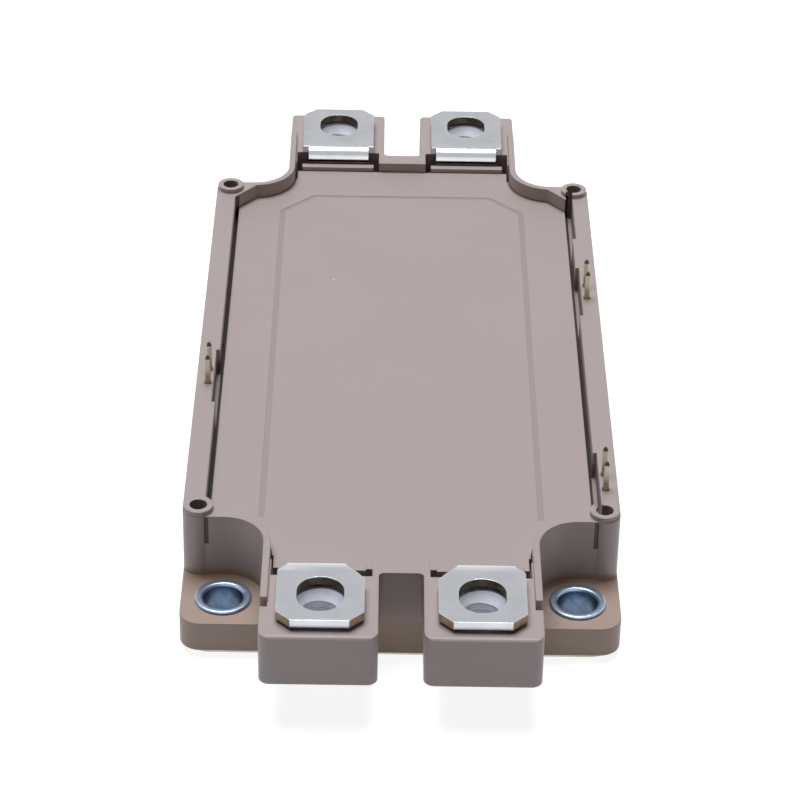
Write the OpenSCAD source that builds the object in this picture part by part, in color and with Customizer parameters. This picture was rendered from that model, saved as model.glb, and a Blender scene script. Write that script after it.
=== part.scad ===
// Dual power-transistor module, flat type, with overhanging screw terminals.
//
// Frame: +X across the module, +Y along it, +Z up. The origin is the middle of
// the base plate's underside, which is the face that is screwed to a heat sink.
// The module is built of a copper base plate, a moulded case frame with a snap-in
// lid, four bent sheet-metal power terminals over captive nuts, rolled steel
// bushings in the ears, control pins in the side rails, and the power circuit
// that the housing covers: three ceramic substrates with their copper, chips,
// bond wires and soft filling.

/* [Overall layout] */
// Heat-sink screws, spacing along the module
mount_l = 110; // [106:0.5:116]
// Heat-sink screws, spacing across the module
mount_w = 50; // [48:0.25:54]
// Distance from the heat-sink screws to the frame's ends
ear_end = 6; // [5.8:0.1:7]
// Distance from the heat-sink screws to the frame's sides
ear_side = 6; // [5.8:0.1:7]
// Distance from the circuit-board screws to the frame's sides
boss_inset = 2.25; // [2.15:0.05:2.4]
// Distance from the heat-sink screws back to the circuit-board screws
boss_back = 7.75; // [7.5:0.05:8.5]
// Distance from the frame's ends out to the power terminals' screws
term_reach = 7.5; // [7.2:0.1:9]
// Distance from the blocks' outer sides in to the power terminals' screws
term_side = 8.25; // [8:0.05:8.5]
// Distance from the power terminals' screws out to the blocks' end faces
block_reach = 7.5; // [7:0.1:9]

/* [Base plate] */
// Distance from the frame's outline in to the base plate's edge
base_inset = 1.2; // [0.8:0.1:2]
// Thickness of the base plate
base_t = 3; // [2.6:0.2:3.4]
// Corner radius of the base plate
base_r = 3; // [1.5:0.5:4]
// Clearance between the base plate and its seat in the frame
base_gap = 0.15; // [0.1:0.05:0.3]

/* [Case frame] */
// Height of the frame's lower edge over the heat sink
skirt_z = 1.2; // [0.8:0.2:1.6]
// Height of the ears' upper face
ear_z = 5.8; // [5.4:0.2:6.4]
// Corner radius of the ears
ear_r = 3; // [2:0.5:4]
// Height of the end walls and terminal blocks
wall_z = 15; // [14.8:0.1:15.3]
// Height of the side rails and rims
rail_z = 15.8; // [15.6:0.1:16.2]
// Height of the circuit-board bosses
boss_z = 16.5; // [16.3:0.1:17]
// Radius of the circuit-board bosses
boss_r = 2.1; // [1.9:0.05:2.2]
// Radius of the self-tapping screw holes in the bosses
boss_bore_r = 1.25; // [1.1:0.05:1.4]
// Depth of the self-tapping screw holes
boss_bore_depth = 8.5; // [7:0.5:10]
// Distance from a boss's middle to the slanted inner wall beside it
boss_guard = 2.65; // [2.5:0.05:2.9]
// Turn of that wall away from the module's length, in degrees
guard_turn = 40; // [36:1:44]
// Width of the side rails
rail_w = 3.1; // [3:0.1:3.4]
// Thickness of the rim round each mounting corner
rim_w = 1; // [0.8:0.1:1.2]
// Thickness of the end walls
end_wall = 2.9; // [2.6:0.1:3]
// Radius kept free round each mounting screw for its washer
washer_r = 5.75; // [5.5:0.05:6]
// Width of the ledge that carries the lid
ledge_w = 1.5; // [1.2:0.1:1.8]

/* [Terminal blocks] */
// Height of the terminal blocks' underside
block_z = 7.1; // [6.6:0.1:7.3]
// Distance from the power terminals' screws in to the blocks' inner sides
block_in = 7.9; // [7.7:0.1:8.4]
// Radius of the blocks' upright edges
block_r = 1.5; // [0.8:0.1:2]
// Radius of the blocks' upper front edge
block_top_r = 0.6; // [0.4:0.1:1.2]
// Fillet in the inner corners of the gap
notch_r = 0.8; // [0.5:0.1:1.2]
// Length of the raised rim on the blocks' outer sides
rim_run = 7; // [6:0.5:8]
// Length of the small pit at the end of each rim
pit_l = 1.1; // [0.8:0.1:1.4]
// Depth of the small pit at the end of each rim
pit_depth = 0.9; // [0.6:0.1:1.2]

/* [Lid] */
// Height of the lid's upper face
lid_z = 13.4; // [13.2:0.1:13.8]
// Thickness of the lid
lid_t = 2; // [1.6:0.1:2.2]
// Gap between the lid and the side rails
lid_side_gap = 0.6; // [0.4:0.1:0.8]
// Gap between the lid and the rims beside its narrow ends
lid_end_gap = 0.4; // [0.2:0.05:0.5]
// Gap between the lid and every other wall
lid_gap = 0.15; // [0.1:0.05:0.3]
// Depth of the skirt under the lid
lid_skirt = 1.6; // [1:0.2:2]
// Thickness of the skirt under the lid
lid_skirt_w = 1.2; // [1:0.1:1.5]
// Width of the shallow groove in the lid
groove_w = 0.85; // [0.6:0.05:1.2]
// Depth of the shallow groove in the lid
groove_depth = 0.2; // [0.1:0.05:0.4]
// Distance from the side rails to the groove
groove_side = 7.55; // [6:0.25:9]
// Distance from the end walls to the groove's closed end
groove_end = 8.7; // [7:0.25:10]
// How much further from the front end wall the groove stops
groove_short = 3.7; // [2:0.25:6]
// Slant of the groove's corners
groove_cut = 5.5; // [4:0.25:7]

/* [Power terminals] */
// Height of the terminals' contact face
term_z = 16.8; // [16.6:0.1:17.2]
// Thickness of the terminal strip
term_t = 1.25; // [1.1:0.05:1.4]
// Width of the contact tongue
tongue_w = 12; // [11.6:0.1:12.2]
// Distance from the screw's middle to the tongue's free end
tongue_tip = 6; // [5.8:0.1:6.6]
// Corner cut of the tongue's free end
tongue_cut = 2; // [1.4:0.1:2.2]
// Radius of the oblong screw hole
tongue_hole_r = 3.25; // [3.1:0.05:3.4]
// Straight length of the oblong screw hole
tongue_slot = 1.3; // [0.8:0.1:1.6]
// Inner radius of the bends
bend_r = 0.5; // [0.4:0.05:0.7]
// Leg of the front terminals, outer half-width
neck_out = 4.75; // [4.5:0.05:4.9]
// Leg of the front terminals, inner half-width
neck_in = 3.4; // [3.2:0.1:3.8]
// Leg of the rear terminals, outer half-width
neck_out_rear = 5.05; // [4.8:0.05:5.5]
// Leg of the rear terminals, inner half-width
neck_in_rear = 5.2; // [4.8:0.1:5.5]
// Length over which a front tongue narrows to its leg, per mm of narrowing
neck_slant = 1.4; // [1:0.1:1.6]
// Height of the arm's underside inside the housing
arm_z = 8; // [7.8:0.1:8.2]
// Clearance between the leg and the lip in front of it, and round the arm
slot_gap = 0.2; // [0.15:0.05:0.25]
// Clearance behind the leg, under the bend
slot_back = 1.1; // [0.6:0.1:1.3]
// Reach of the slot past both sides of the contact tongue
slot_side = 1; // [0.6:0.1:1.1]
// Thickness of the lip between the lid and each leg
lip_w = 1.2; // [1:0.05:1.4]
// Height of that lip
lip_z = 14.1; // [13.6:0.1:14.5]
// Width of the open corners beside the lip
lip_corner = 0.9; // [0.7:0.05:1]
// Length of the terminals' feet on the substrates
foot_l = 3; // [2:0.5:3.5]
// Thickness of the terminals' feet
foot_t = 0.8; // [0.5:0.1:1]

/* [Captive nuts] */
// Width across flats of the nuts
nut_flats = 10; // [9.8:0.05:10.1]
// Thickness of the nuts
nut_t = 5; // [4.6:0.1:5.2]
// Radius of the nuts' thread, at its crest
thread_r = 2.5; // [2.4:0.05:2.6]
// Radius of the flat face inside the nuts' outer chamfer
nut_face_r = 4.4; // [4.2:0.1:4.7]
// Radius of the countersink at the thread's mouth
thread_mouth_r = 3.1; // [2.9:0.1:3.3]
// Thickness of the block's floor under the nut
nut_floor = 1.3; // [1.2:0.1:1.6]
// Clearance round a nut in its pocket
nut_gap = 0.1; // [0.05:0.05:0.15]
// Clearance round the screw's end in the hole under the nut
screw_gap = 0.8; // [0.6:0.1:1]
// Thickness left under the screw's end
screw_floor = 0.7; // [0.5:0.1:0.9]

/* [Bushings] */
// Radius of the bushings' bore
bush_bore_r = 2.8; // [2.7:0.05:3]
// Radius of the bushings' sleeve
bush_r = 3.3; // [3.2:0.05:3.6]
// Radius of the bushings' rolled collar
collar_r = 4; // [3.9:0.05:4.2]
// Height of the rolled collar
collar_t = 0.5; // [0.4:0.05:0.6]
// Clearance between a bushing and its hole
bush_gap = 0.1; // [0.05:0.05:0.15]
// Height of the bushings' lower end over the heat sink
bush_z = 0.1; // [0:0.05:0.3]

/* [Control pins] */
// Height of the pins' tips
pin_z = 20.5; // [19.5:0.25:21.5]
// Width of the pins' square section
pin_w = 0.8; // [0.7:0.05:0.9]
// Width of the pins' blunt tips
pin_tip_w = 0.35; // [0.2:0.05:0.5]
// Height of the pins' tapered tips
pin_tip_l = 0.6; // [0.4:0.1:1]
// Distance from the frame's sides to the pins
pin_inset = 1.75; // [1.65:0.05:1.85]
// Spacing of the two pins in a pair
pin_pitch = 3.81; // [3.6:0.1:4]
// Middle of the pair in the left rail
pair_left_y = -11.9; // [-13:0.5:-11]
// Middle of the pair near the middle of the right rail
pair_mid_y = 14.7; // [14:0.5:16]
// Distance from the front screws back to the pair near them, in the right rail
pair_back = 16; // [15.5:0.25:17]
// Clearance round a pin in its hole
pin_gap = 0.1; // [0.05:0.05:0.15]
// Length of the relief beside a pair of pins
relief_l = 14.8; // [13:0.2:15]
// Depth of the relief beside a pair of pins
relief_d = 0.55; // [0.4:0.05:0.6]
// Height of the pins' feet inside the housing
foot_z = 4.7; // [4.6:0.05:4.9]
// Reach of the pins' feet into the cavity
foot_reach = 2; // [1.6:0.1:2.2]

/* [Power circuit] */
// Distance from the cavity's sides to the substrates
sub_side = 2.4; // [2.3:0.1:4]
// Distance from the cavity's wide part's ends to the substrates
sub_end = 2.25; // [1.5:0.25:4]
// Gap between two substrates
sub_gap = 1; // [0.6:0.1:1.6]
// Thickness of the copper layers
copper_t = 0.3; // [0.25:0.05:0.35]
// Thickness of the ceramic
ceramic_t = 0.4; // [0.3:0.05:0.5]
// Distance from the ceramic's edge to its copper
copper_edge = 0.8; // [0.6:0.1:1.2]
// Gap between two copper tracks
track_gap = 0.8; // [0.6:0.1:1]
// Side of a transistor chip
chip_w = 8; // [7:0.25:8.5]
// Side of a diode chip
diode_w = 6; // [5:0.25:6.5]
// Thickness of the chips
chip_t = 0.2; // [0.15:0.05:0.3]
// Length of the temperature sensor
sensor_l = 3; // [2:0.25:3.5]
// Width of the temperature sensor
sensor_w = 2; // [1.2:0.2:2.4]
// Thickness of the temperature sensor
sensor_t = 1; // [0.6:0.1:1.2]
// Thickness of a bond wire
wire_t = 0.4; // [0.3:0.05:0.5]
// Radius of a bond wire's arch
wire_r = 1.6; // [1.5:0.05:1.7]
// Thickness of the soft filling's upper layer
gel_t = 1; // [0.8:0.1:1.1]
// Clearance round the soft filling
gel_gap = 0.25; // [0.2:0.05:0.3]

/* [Hidden] */
$fn = 48;

plastic = "#ada3a2";
metal = "#b5b8bc";
zinc = "#9fb0bf";
copper = "#b87350";

// A cut runs past the face that it opens by this much.
over = 1;

// Outlines that follow from the heat-sink screws.
case_l = mount_l + 2*ear_end;
case_w = mount_w + 2*ear_side;
base_l = case_l - 2*base_inset;
base_w = case_w - 2*base_inset;
boss_x = case_w/2 - boss_inset;
boss_y = mount_l/2 - boss_back;
end_y = case_l/2;
screw_y = end_y + term_reach;
block_y = screw_y + block_reach;

// Corner scoops: the mounting screw stands in the middle of each.
scoop_x = mount_w/2 - washer_r;
scoop_y = mount_l/2 - washer_r;

// Terminal blocks: they reach from the gap between them to the scoops.
screw_x = scoop_x - term_side;
notch_x = screw_x - block_in;

// The recess over the lid, and the cavity under it.
recess_x = case_w/2 - rail_w;
recess_end_x = scoop_x - rim_w;
recess_y = end_y - end_wall;
lid_under = lid_z - lid_t;
cavity_x = recess_x - ledge_w;
cavity_y = recess_y - ledge_w;

// Three substrates fill the wide part of the cavity.
sub_w = 2*(cavity_x - sub_side);
sub_l = (2*(scoop_y - rim_w - ledge_w - sub_end) - 2*sub_gap)/3;
sub_pitch = sub_l + sub_gap;
SUBSTRATES = [-sub_pitch, 0, sub_pitch];

// Heights of the power circuit's layers.
ceramic_z = base_t + copper_t;
tracks_z = ceramic_z + ceramic_t;
chips_z = tracks_z + copper_t;
wires_z = chips_z + chip_t;
gel_z = arm_z - slot_gap - gel_gap - gel_t;

// The copper's extent on a substrate.
track_w = sub_w - 2*copper_edge;
tracks_l = sub_l - 2*copper_edge;

// The terminal strip's leg and bends.
leg_y = recess_y + lip_w + slot_gap;
tongue_z = term_z - term_t;
bend_y = leg_y + term_t + bend_r;
foot_y = sub_pitch + sub_l/2 - copper_edge - term_t;
nut_z = block_z + nut_floor;

// Pins: rail side and middle of each pair. A relief without pins lies opposite
// the front pair.
pin_x = case_w/2 - pin_inset;
pair_front_y = pair_back - mount_l/2;
PAIRS = [[-1, pair_left_y], [1, pair_mid_y], [1, pair_front_y]];
RELIEFS = concat(PAIRS, [[1, -pair_front_y]]);

// Where the substrates' tracks part, as shares of the copper's length, and where
// the chips and the sensor stand, as shares of a substrate's width.
TRACK_SHARES = [0, 0.4, 0.8, 1];
CHIP_X = [-0.16, 0.06];
DIODE_X = [-0.32, 0.22];
SENSOR_X = 0.4;

// Copies its children to the four quarters of the module.
module four_ways() {
    for (right = [0, 1], rear = [0, 1])
        mirror([1 - right, 0, 0]) mirror([0, 1 - rear, 0]) children();
}

// Puts its children, drawn for the rear right quarter, into one quarter.
module quarter(side, end) {
    mirror([side < 0 ? 1 : 0, 0, 0]) mirror([0, end < 0 ? 1 : 0, 0]) children();
}

// Extrudes a profile drawn in Y and Z along X, from x to x + w.
module along_x(x, w) {
    translate([x, 0, 0]) rotate([90, 0, 90]) linear_extrude(w) children();
}

// A rectangle round the origin.
module field(half_x, half_y) {
    square([2*half_x, 2*half_y], center = true);
}

// A rectangle of size w by l round the origin, with round corners.
module round_rect(w, l, r) {
    square([w - 2*r, l], center = true);
    square([w, l - 2*r], center = true);
    for (x = [-1, 1], y = [-1, 1]) translate([x*(w/2 - r), y*(l/2 - r)]) circle(r);
}

// The fillet between the two walls of a corner scoop whose circle has radius r.
module scoop_fillet(r) {
    difference() {
        square([mount_w/2, mount_l/2]);
        translate([mount_w/2, mount_l/2]) circle(r);
        translate([mount_w/2 - r, mount_l/2]) square(r);
    }
}

// Outline of the housing above its ears.
module body_outline() {
    field(case_w/2, boss_y);
    field(boss_x, scoop_y);
    field(scoop_x, end_y);
    four_ways() {
        scoop_fillet(washer_r);
        translate([boss_x, boss_y]) circle(boss_inset);
    }
}

// Outline of the recess over the lid, drawn in by inset. The walls of the two
// narrow ends and the side rails have their own insets.
module recess_outline(inset = 0, inset_end = 0, inset_side = 0) {
    r = washer_r + rim_w + inset;
    difference() {
        union() {
            field(recess_x - inset_side, mount_l/2 - r);
            field(recess_end_x - inset_end, recess_y - inset);
            four_ways() intersection() {
                scoop_fillet(r);
                square([mount_w/2, recess_y - inset]);
            }
        }
        four_ways()
            translate([boss_x, boss_y]) rotate(guard_turn)
            translate([-boss_guard - inset, -r]) square([case_w, 2*r]);
    }
}

// Plan of one terminal block, in the rear right quarter.
module block_plan() {
    w = scoop_x - notch_x;
    l = block_y - end_y;
    translate([notch_x, end_y - over]) square([w, l + over - block_r]);
    translate([notch_x + block_r, end_y]) square([w - 2*block_r, l]);
    for (x = [notch_x + block_r, scoop_x - block_r])
        translate([x, block_y - block_r]) circle(block_r);
    difference() {
        translate([notch_x - notch_r, end_y]) square(notch_r);
        translate([notch_x - notch_r, end_y + notch_r]) circle(notch_r);
    }
}

// Side view of the blocks, with their rounded upper edge.
module block_profile() {
    r = block_top_r;
    l = block_y - end_y + over;
    h = wall_z - block_z;
    translate([end_y - over, block_z]) square([l, h - r]);
    translate([end_y - over, block_z]) square([l - r, h]);
    translate([block_y - r, wall_z - r]) circle(r);
}

module terminal_block() {
    intersection() {
        translate([0, 0, block_z]) linear_extrude(wall_z - block_z) block_plan();
        along_x(0, scoop_x) block_profile();
    }
}

// The raised edge round the recess: side rails, scoop rims and their run along
// the outer sides of the terminal blocks.
module raised_edge() {
    translate([0, 0, wall_z]) linear_extrude(rail_z - wall_z) difference() {
        union() {
            body_outline();
            four_ways() translate([recess_end_x, end_y - over])
                square([rim_w, rim_run + over]);
        }
        recess_outline();
        field(recess_end_x, block_y);
    }
}

// Everything that is cut out for the terminal strip and the nut of one quarter.
// The strip's leg reaches from -inner to outer about the screw's middle.
module terminal_cuts(inner, outer) {
    half = tongue_w/2 + slot_side;
    y_in = leg_y - slot_gap;
    y_out = leg_y + term_t + slot_back;
    // the upright slot for the leg
    translate([screw_x - half, y_in, arm_z - slot_gap]) cube([2*half, y_out - y_in, wall_z]);
    // the end wall is lowered to a lip in front of the leg, with open corners
    translate([screw_x - half, recess_y - over, lip_z]) cube([2*half, y_out - recess_y + over, wall_z]);
    for (x = [screw_x - half, screw_x + half - lip_corner])
        translate([x, recess_y - over, lid_under])
            cube([lip_corner, y_in - recess_y + 2*over, wall_z]);
    // the passage for the arm, from the slot to the cavity, with room for the
    // inside of the bend between the arm and the leg
    w = inner + outer + 2*slot_gap;
    translate([screw_x - inner - slot_gap, cavity_y - over, arm_z - slot_gap])
        cube([w, y_out - cavity_y + over, term_t + 2*slot_gap]);
    translate([screw_x - inner - slot_gap, leg_y - bend_r, arm_z]) cube([w, bend_r, term_t + bend_r]);
    // the nut's pocket, with a blind hole under it for the screw's end
    translate([screw_x, screw_y, nut_z])
        cylinder(h = wall_z, r = (nut_flats/2 + nut_gap)/cos(30), $fn = 6);
    translate([screw_x, screw_y, block_z + screw_floor])
        cylinder(h = nut_floor, r = thread_r + screw_gap);
}

// Hole for one control pin, and the passage for its foot into the cavity.
module pin_cuts(side, y) {
    w = pin_w + 2*pin_gap;
    translate([side*pin_x - w/2, y - w/2, foot_z - pin_gap]) cube([w, w, rail_z + over]);
    translate([side > 0 ? cavity_x - over : -pin_x - w/2, y - w/2, foot_z - pin_gap])
        cube([pin_x + w/2 - cavity_x + over, w, w]);
}

module case_frame() {
    color(plastic) difference() {
        union() {
            translate([0, 0, skirt_z]) linear_extrude(ear_z - skirt_z) round_rect(case_w, case_l, ear_r);
            translate([0, 0, skirt_z]) linear_extrude(wall_z - skirt_z) body_outline();
            raised_edge();
            four_ways() {
                terminal_block();
                translate([boss_x, boss_y, wall_z]) cylinder(h = boss_z - wall_z, r = boss_r);
            }
        }
        // seat of the base plate, cavity over the circuit, and recess of the lid
        translate([0, 0, skirt_z - over]) linear_extrude(base_t - skirt_z + over)
            round_rect(base_w + 2*base_gap, base_l + 2*base_gap, base_r);
        translate([0, 0, skirt_z]) linear_extrude(rail_z) recess_outline(ledge_w, ledge_w, ledge_w);
        translate([0, 0, lid_under]) linear_extrude(rail_z) recess_outline();
        four_ways() {
            translate([mount_w/2, mount_l/2, 0]) cylinder(h = rail_z, r = bush_r + bush_gap);
            translate([boss_x, boss_y, boss_z - boss_bore_depth])
                cylinder(h = boss_bore_depth + over, r = boss_bore_r);
            translate([recess_end_x, end_y + rim_run, wall_z - pit_depth])
                cube([rim_w, pit_l, rail_z]);
        }
        for (side = [-1, 1]) {
            quarter(side, -1) terminal_cuts(neck_in, neck_out);
            quarter(side, 1) terminal_cuts(neck_in_rear, neck_out_rear);
        }
        for (p = PAIRS, k = [-1, 1]) pin_cuts(p[0], p[1] + k*pin_pitch/2);
        for (p = RELIEFS)
            translate([p[0]*recess_x - relief_d, p[1] - relief_l/2, lid_under])
                cube([2*relief_d, relief_l, rail_z]);
    }
}

module base_plate() {
    color(metal) difference() {
        linear_extrude(base_t) round_rect(base_w, base_l, base_r);
        four_ways() translate([mount_w/2, mount_l/2, -over])
            cylinder(h = base_t + 2*over, r = bush_r + bush_gap);
    }
}

// The shallow line that frames the lid's plain field; its front end stays open.
module groove_line() {
    open_y = recess_y - groove_end - groove_short;
    difference() {
        groove_field(0);
        groove_field(groove_w);
        translate([0, -block_y]) square([case_w, 2*(block_y - open_y)], center = true);
    }
}

module groove_field(inset) {
    x = recess_x - groove_side - inset;
    y = recess_y - groove_end - inset;
    c = groove_cut - 2*inset*(1 - cos(45));
    polygon([[-x, -y], [x, -y], [x, y - c], [x - c, y], [c - x, y], [-x, y - c]]);
}

module lid() {
    inset = ledge_w + lid_gap;
    inner = inset + lid_skirt_w;
    color(plastic) difference() {
        union() {
            translate([0, 0, lid_under]) linear_extrude(lid_t)
                recess_outline(lid_gap, lid_end_gap, lid_side_gap);
            translate([0, 0, lid_under - lid_skirt]) linear_extrude(lid_skirt + over) difference() {
                recess_outline(inset, inset, inset);
                recess_outline(inner, inner, inner);
            }
        }
        translate([0, 0, lid_z - groove_depth]) linear_extrude(groove_depth + over) groove_line();
    }
}

// Half section of a rolled bushing: sleeve, rounded mouth and collar.
module bushing_profile() {
    mouth = bush_r - bush_bore_r;
    top = ear_z + collar_t;
    translate([bush_bore_r, bush_z]) square([mouth, top - mouth - bush_z]);
    intersection() {
        translate([bush_bore_r, top - mouth]) square(mouth);
        translate([bush_r, top - mouth]) circle(mouth);
    }
    translate([bush_r, ear_z]) square([collar_r - collar_t/2 - bush_r, collar_t]);
    translate([collar_r - collar_t/2, ear_z + collar_t/2]) circle(collar_t/2);
}

module bushings() {
    color(zinc) four_ways() translate([mount_w/2, mount_l/2, 0])
        rotate_extrude($fn = 64) bushing_profile();
}

// Plan of the contact tongue, from its free end to the line where it bends. The
// module's middle line lies on the -X side. The tongue narrows to its leg along
// slant mm per mm of narrowing, or in square notches where slant is 0.
module tongue_plan(inner, outer, slant) {
    w = tongue_w/2;
    tip = tongue_tip;
    back = screw_y - bend_y;
    difference() {
        polygon([
            [-w + tongue_cut, tip], [w - tongue_cut, tip], [w, tip - tongue_cut],
            [w, slant*(w - outer) - back], [outer, -back], [-inner, -back],
            [-w, slant*(w - inner) - back], [-w, tip - tongue_cut]
        ]);
        for (y = [-1, 1]) translate([0, y*tongue_slot/2]) circle(tongue_hole_r);
        square([2*tongue_hole_r, tongue_slot], center = true);
    }
}

// A quarter ring as thick as the strip, inside the bend's square corner.
module bend_ring(turn) {
    rotate(turn) difference() {
        intersection() {
            circle(bend_r + term_t);
            square(bend_r + term_t);
        }
        circle(bend_r);
    }
}

// Side view of the strip from its upper bend down the leg and along the arm to
// the foot on the substrate.
module strip_profile() {
    ring = bend_r + term_t;
    translate([bend_y, tongue_z - bend_r]) bend_ring(90);
    translate([leg_y, arm_z + ring]) square([term_t, tongue_z - bend_r - arm_z - ring]);
    translate([leg_y - bend_r, arm_z + ring]) bend_ring(-90);
    translate([foot_y + ring, arm_z]) square([leg_y - bend_r - foot_y - ring, term_t]);
    translate([foot_y + ring, arm_z - bend_r]) bend_ring(90);
    translate([foot_y, chips_z]) square([term_t, arm_z - bend_r - chips_z]);
    translate([foot_y - foot_l, chips_z]) square([foot_l, foot_t]);
}

// One bent power terminal, drawn for the rear right quarter.
module terminal(inner, outer, slant) {
    color(metal) translate([screw_x, 0, 0]) {
        translate([0, screw_y, tongue_z]) linear_extrude(term_t)
            tongue_plan(inner, outer, slant);
        along_x(-inner, inner + outer) strip_profile();
    }
}

// One captive nut, drawn for the rear right quarter.
module nut() {
    corner_r = nut_flats/2/cos(30);
    chamfer = (corner_r - nut_face_r)*tan(30);
    color(zinc) translate([screw_x, screw_y, nut_z]) difference() {
        intersection() {
            cylinder(h = nut_t, r = corner_r, $fn = 6);
            union() {
                cylinder(h = nut_t - chamfer, r = corner_r + over);
                translate([0, 0, nut_t - chamfer]) cylinder(h = chamfer, r1 = corner_r, r2 = nut_face_r);
            }
        }
        translate([0, 0, -over]) cylinder(h = nut_t + 2*over, r = thread_r);
        translate([0, 0, nut_t - thread_mouth_r + thread_r])
            cylinder(h = thread_mouth_r - thread_r, r1 = thread_r, r2 = thread_mouth_r);
    }
}

// Front view of a pin's shaft with its tapered tip.
module shaft_profile() {
    h = pin_z - foot_z;
    w = pin_w/2;
    t = pin_tip_w/2;
    polygon([[-w, 0], [w, 0], [w, h - pin_tip_l], [t, h], [-t, h], [-w, h - pin_tip_l]]);
}

// One control pin with its foot, which points into the cavity.
module pin(pair, k) {
    side = pair[0];
    foot_x = cavity_x - foot_reach;
    color(metal) translate([0, pair[1] + k*pin_pitch/2, foot_z]) {
        translate([side*pin_x, 0, 0]) intersection() {
            along_x(-pin_w, 2*pin_w) shaft_profile();
            rotate([90, 0, 0]) linear_extrude(2*pin_w, center = true) shaft_profile();
        }
        translate([side > 0 ? foot_x : -pin_x, -pin_w/2, 0]) cube([pin_x - foot_x, pin_w, pin_w]);
    }
}

// Puts its children, drawn round the middle of a substrate, on substrate k. The
// front substrate is turned round, so that its outputs lie toward the terminals.
module on_substrate(k, z) {
    translate([0, SUBSTRATES[k], z]) mirror([0, k == 0 ? 1 : 0, 0]) children();
}

// The copper that is soldered to the base plate.
module copper_under(k) {
    color(copper) on_substrate(k, base_t) linear_extrude(copper_t) field(track_w/2, tracks_l/2);
}

module ceramic(k) {
    color("white") on_substrate(k, ceramic_z) linear_extrude(ceramic_t) field(sub_w/2, sub_l/2);
}

// Three tracks across the module: two carry chips, the third takes the terminals.
module tracks(k) {
    color(copper) on_substrate(k, tracks_z) linear_extrude(copper_t)
        for (i = [0 : len(TRACK_SHARES) - 2])
            translate([-track_w/2, track_start(i)]) square([track_w, track_end(i) - track_start(i)]);
}

function track_start(i) = (TRACK_SHARES[i] - 0.5)*tracks_l + (i > 0 ? track_gap : 0);
function track_end(i) = (TRACK_SHARES[i + 1] - 0.5)*tracks_l;
function track_mid(i) = (track_start(i) + track_end(i))/2;

module transistors(k) {
    color("#6b6f78") on_substrate(k, chips_z) linear_extrude(chip_t)
        for (i = [0, 1], x = CHIP_X) translate([x*sub_w, track_mid(i)]) square(chip_w, center = true);
}

module diodes(k) {
    color("#5a5d66") on_substrate(k, chips_z) linear_extrude(chip_t)
        for (i = [0, 1], x = DIODE_X) translate([x*sub_w, track_mid(i)]) square(diode_w, center = true);
}

// Arched wires from each transistor to the diode beside it.
module wires(k) {
    color("silver") on_substrate(k, wires_z)
        for (i = [0, 1], j = [0, 1], n = [-1, 0, 1])
            translate([(CHIP_X[j] + DIODE_X[j])/2*sub_w, track_mid(i) + n*diode_w/4, 0])
                rotate([90, 0, 0]) rotate_extrude(angle = 180) translate([wire_r, 0]) circle(wire_t/2);
}

module thermistor() {
    color("#3c4a3c") on_substrate(1, chips_z) linear_extrude(sensor_t)
        translate([SENSOR_X*sub_w, track_mid(1)]) square([sensor_l, sensor_w], center = true);
}

// Upper layer of the soft filling, with windows for the terminals' feet.
module filling() {
    color("#dfe6e4") translate([0, 0, gel_z]) linear_extrude(gel_t) difference() {
        recess_outline(ledge_w + gel_gap, ledge_w + gel_gap, ledge_w + gel_gap);
        four_ways() translate([screw_x - tongue_w/2, foot_y - gel_gap])
            square([tongue_w, term_t + 2*gel_gap]);
    }
}

base_plate();
case_frame();
lid();
bushings();
quarter(-1, -1) terminal(neck_in, neck_out, neck_slant);  // terminal_front_left
quarter(1, -1) terminal(neck_in, neck_out, neck_slant);  // terminal_front_right
quarter(-1, 1) terminal(neck_in_rear, neck_out_rear, 0);  // terminal_rear_left
quarter(1, 1) terminal(neck_in_rear, neck_out_rear, 0);  // terminal_rear_right
quarter(-1, -1) nut();  // nut_front_left
quarter(1, -1) nut();  // nut_front_right
quarter(-1, 1) nut();  // nut_rear_left
quarter(1, 1) nut();  // nut_rear_right
pin(PAIRS[0], 1);  // pin_left_rear
pin(PAIRS[0], -1);  // pin_left_front
pin(PAIRS[1], 1);  // pin_mid_rear
pin(PAIRS[1], -1);  // pin_mid_front
pin(PAIRS[2], 1);  // pin_front_rear
pin(PAIRS[2], -1);  // pin_front_front
copper_under(0);  // copper_under_front
copper_under(1);  // copper_under_middle
copper_under(2);  // copper_under_rear
ceramic(0);  // ceramic_front
ceramic(1);  // ceramic_middle
ceramic(2);  // ceramic_rear
tracks(0);  // tracks_front
tracks(1);  // tracks_middle
tracks(2);  // tracks_rear
transistors(0);  // transistors_front
transistors(1);  // transistors_middle
transistors(2);  // transistors_rear
diodes(0);  // diodes_front
diodes(1);  // diodes_middle
diodes(2);  // diodes_rear
wires(0);  // wires_front
wires(1);  // wires_middle
wires(2);  // wires_rear
thermistor();
filling();
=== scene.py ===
"""Looks of a flat dual power-transistor module with overhanging screw terminals.

Everything is in metres in the row frame: +X across the module, +Y toward the rear
terminals, +Z up from the heat sink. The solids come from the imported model. This
script dresses them, and makes the pieces whose finish the plain solids can't give.
"""

from __future__ import annotations

import logging
import math
from dataclasses import dataclass
from enum import IntEnum
from typing import Any

import bmesh
import bpy
import numpy as np
from mathutils import Matrix, Vector


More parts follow.
